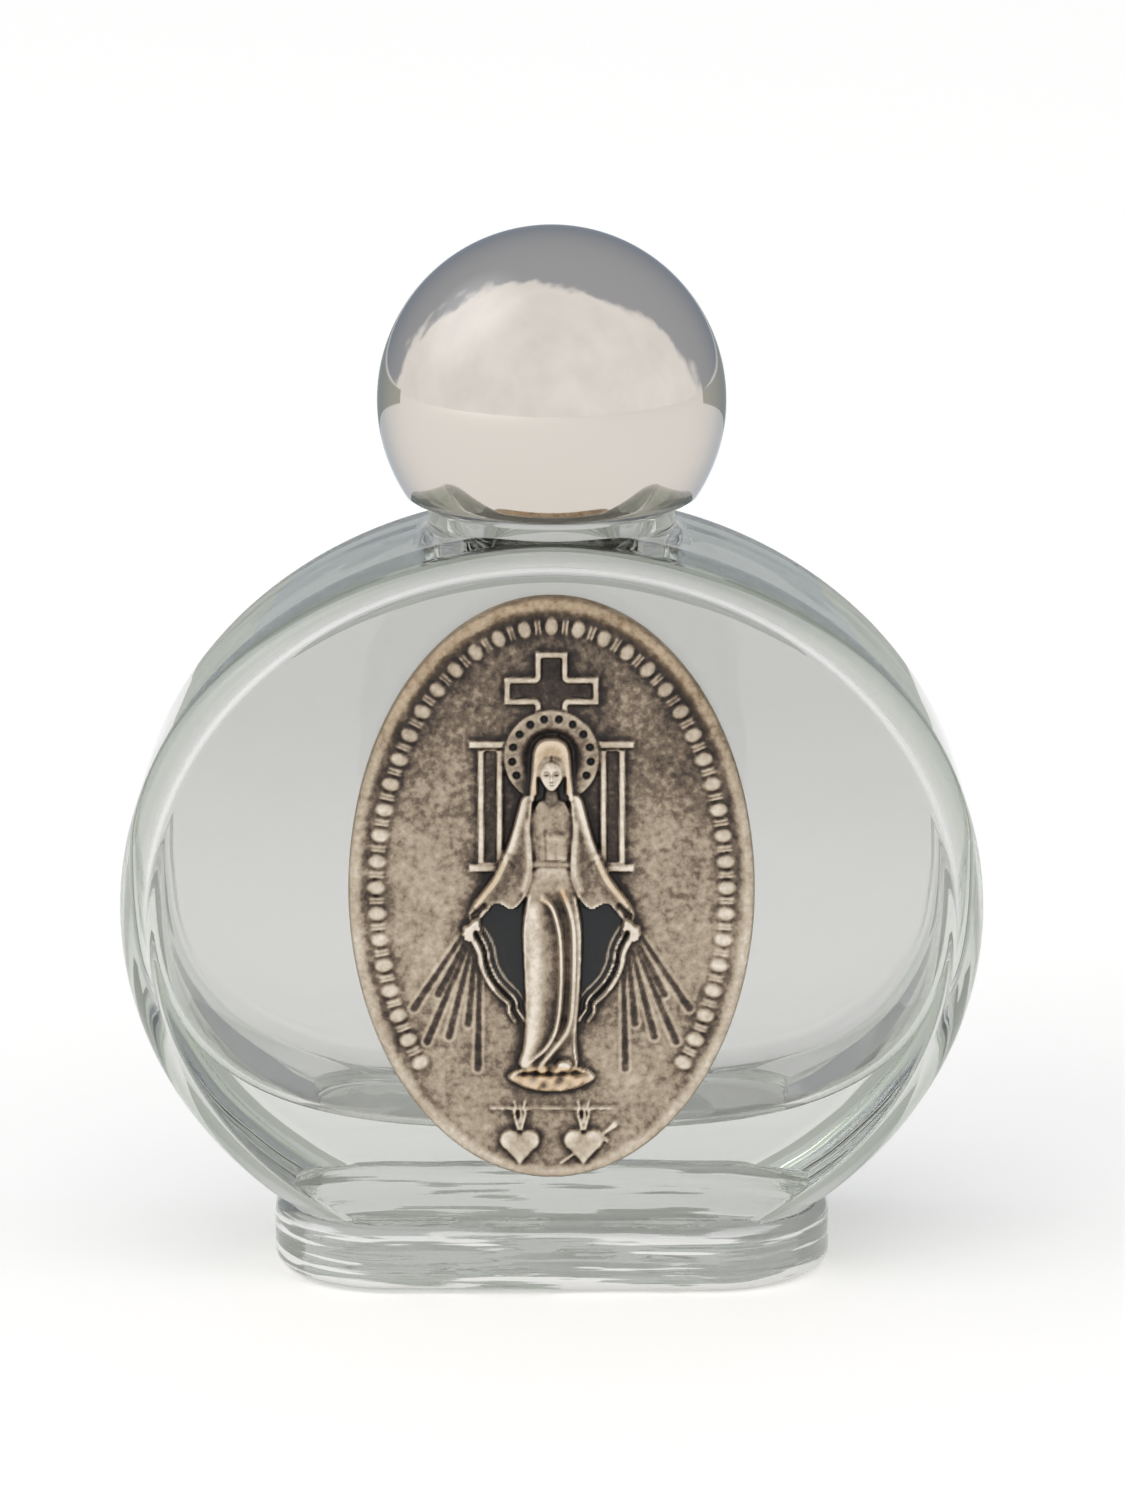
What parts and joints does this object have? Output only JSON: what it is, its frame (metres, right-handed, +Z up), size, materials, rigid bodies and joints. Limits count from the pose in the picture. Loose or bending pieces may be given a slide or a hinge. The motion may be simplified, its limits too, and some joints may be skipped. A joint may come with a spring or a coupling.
{
  "type": "holy_water_bottle",
  "caption": "Small oval clear glass holy water bottle with a bright ball screw cap and a struck oval devotional medal on its front",
  "frame": {"origin": "middle of the flat underside of the foot", "axes": "+Z up through the neck and cap, +X to the viewer's right when the medal is seen from the front, the medal faces -Y"},
  "size_m": [0.056, 0.0249, 0.068],
  "materials": {
    "clear_glass": "gloss",
    "metallised_plastic": "polished",
    "white_plastic": "satin",
    "soft_plastic": "matte",
    "antiqued_alloy": "satin",
    "adhesive_foam": "matte"
  },
  "bodies": {
    "bottle": {"glass_bottle": "clear_glass", "medal_adhesive": "adhesive_foam", "medal": "antiqued_alloy"},
    "plug": {"seal_plug": "soft_plastic"},
    "cap": {"cap_insert": "white_plastic", "cap_shell": "metallised_plastic"}
  },
  "joints": [
    {"name": "cap_rise", "type": "slide", "parent": "bottle", "child": "plug", "axis": [0, 0, 1], "range_m": [0, 0.0075]},
    {"name": "cap_turn", "type": "hinge", "parent": "plug", "child": "cap", "pos_m": [0, 0, 0.0575], "axis": [0, 0, 1], "range_deg": [0, 1080]}
  ],
  "couplings": [
    {"joint": "cap_rise", "follows": "cap_turn", "m_per_rad": 0.00039789}
  ]
}
